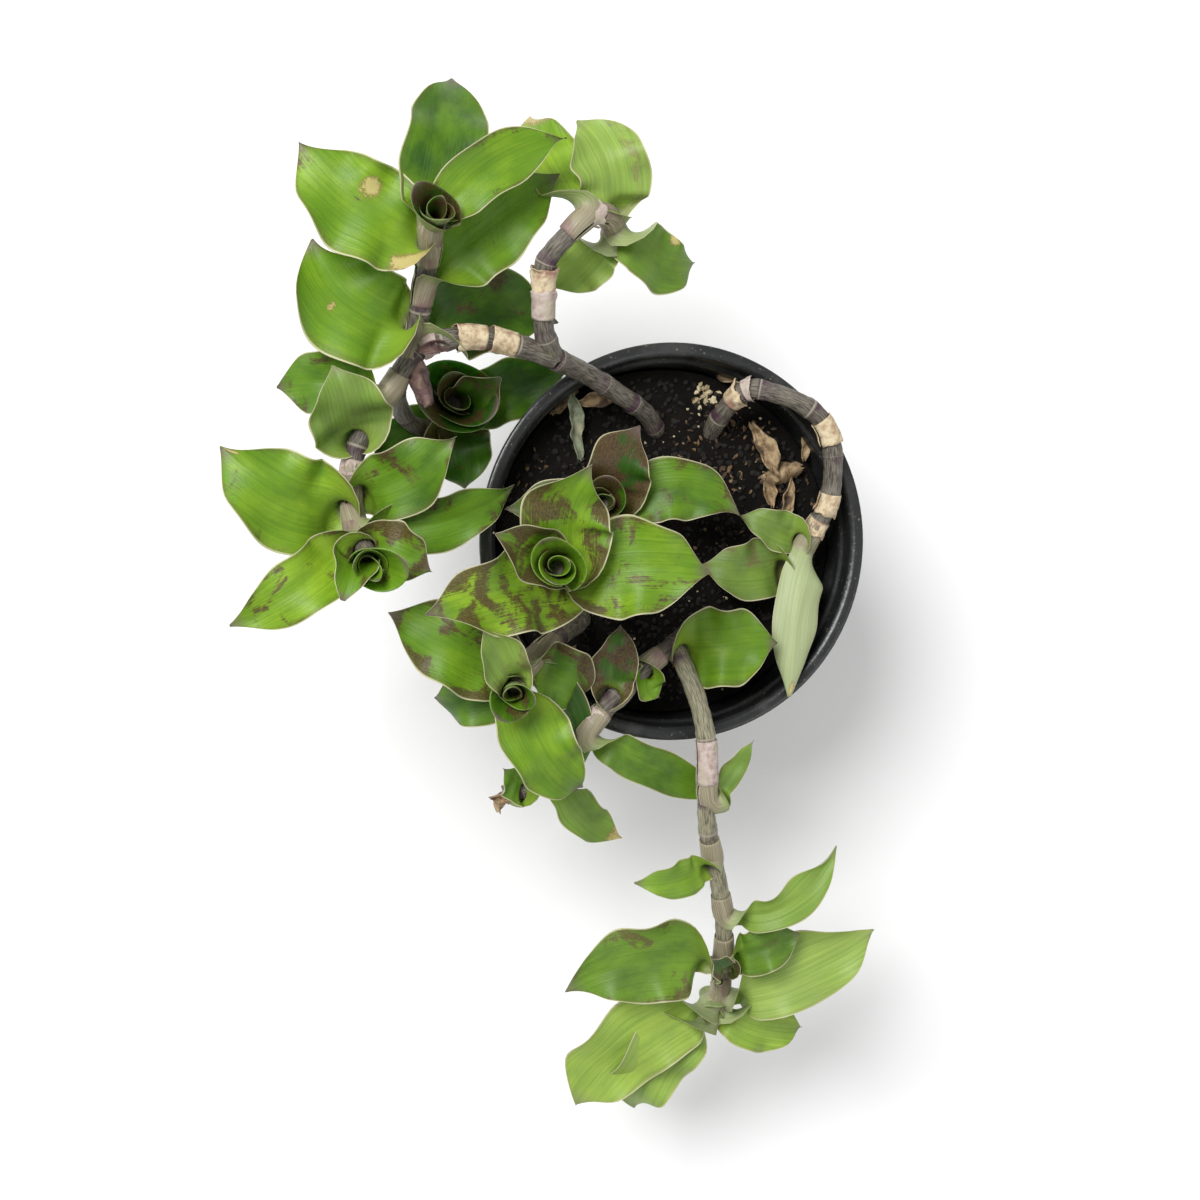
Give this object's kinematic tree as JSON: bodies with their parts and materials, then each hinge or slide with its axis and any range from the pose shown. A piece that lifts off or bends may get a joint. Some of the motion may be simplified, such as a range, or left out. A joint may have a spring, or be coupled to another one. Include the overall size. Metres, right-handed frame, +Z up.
{
  "type": "potted callisia plant",
  "caption": "Trailing callisia with fleshy wavy-edged leaves in rosettes on jointed stems, growing over the rim of a round black plastic nursery pot of dark soil.",
  "frame": {"origin": "the middle of the pot's flat base, on the surface it stands on", "axes": "+Z up; +X to the right and +Y to the back, as the plant is seen with its long trailing stem at the front and its leafy side at the left"},
  "size_m": [0.207, 0.321, 0.166],
  "materials": {
    "pot": "satin",
    "soil": "matte",
    "stem": "satin",
    "leaf": "satin",
    "sheath": "matte",
    "litter": "matte",
    "perlite": "matte"
  },
  "bodies": {
    "root": {"pot": "pot", "soil": "soil", "left_stem": "stem", "centre_stem": "stem", "back_stem": "stem", "front_left_stem": "stem", "front_stem": "stem", "right_stem": "stem", "upper_left_leaf_1": "leaf", "upper_left_leaf_2": "leaf", "upper_left_leaf_3": "leaf", "upper_left_leaf_4": "leaf", "upper_left_leaf_5": "leaf", "upper_left_leaf_6": "leaf", "rear_leaf_1": "leaf", "rear_leaf_2": "leaf", "rear_leaf_3": "leaf", "rear_leaf_4": "leaf", "outer_leaf_1": "leaf", "outer_leaf_2": "leaf", "outer_leaf_3": "leaf", "outer_leaf_4": "leaf", "outer_leaf_5": "leaf", "outer_leaf_6": "leaf", "outer_leaf_7": "leaf", "outer_leaf_8": "leaf", "nest_leaf_1": "leaf", "nest_leaf_2": "leaf", "nest_leaf_3": "leaf", "nest_leaf_4": "leaf", "centre_leaf_1": "leaf", "centre_leaf_2": "leaf", "centre_leaf_3": "leaf", "centre_leaf_4": "leaf", "back_leaf_1": "leaf", "back_leaf_2": "leaf", "back_leaf_3": "leaf", "front_left_leaf_1": "leaf", "front_left_leaf_2": "leaf", "front_left_leaf_3": "leaf", "front_left_leaf_4": "leaf", "front_left_leaf_5": "leaf", "front_left_leaf_6": "leaf", "broken_end_leaf_1": "leaf", "broken_end_leaf_2": "leaf", "broken_end_leaf_3": "leaf", "broken_end_leaf_4": "leaf", "right_leaf_1": "leaf", "right_leaf_2": "leaf", "right_leaf_3": "leaf", "trailing_leaf_1": "leaf", "trailing_leaf_2": "leaf", "trailing_leaf_3": "leaf", "trailing_leaf_4": "leaf", "trailing_leaf_5": "leaf", "trailing_leaf_6": "leaf", "trailing_leaf_7": "leaf", "trailing_leaf_8": "leaf", "trailing_leaf_9": "leaf", "trailing_leaf_10": "leaf"}
  },
  "joints": []
}
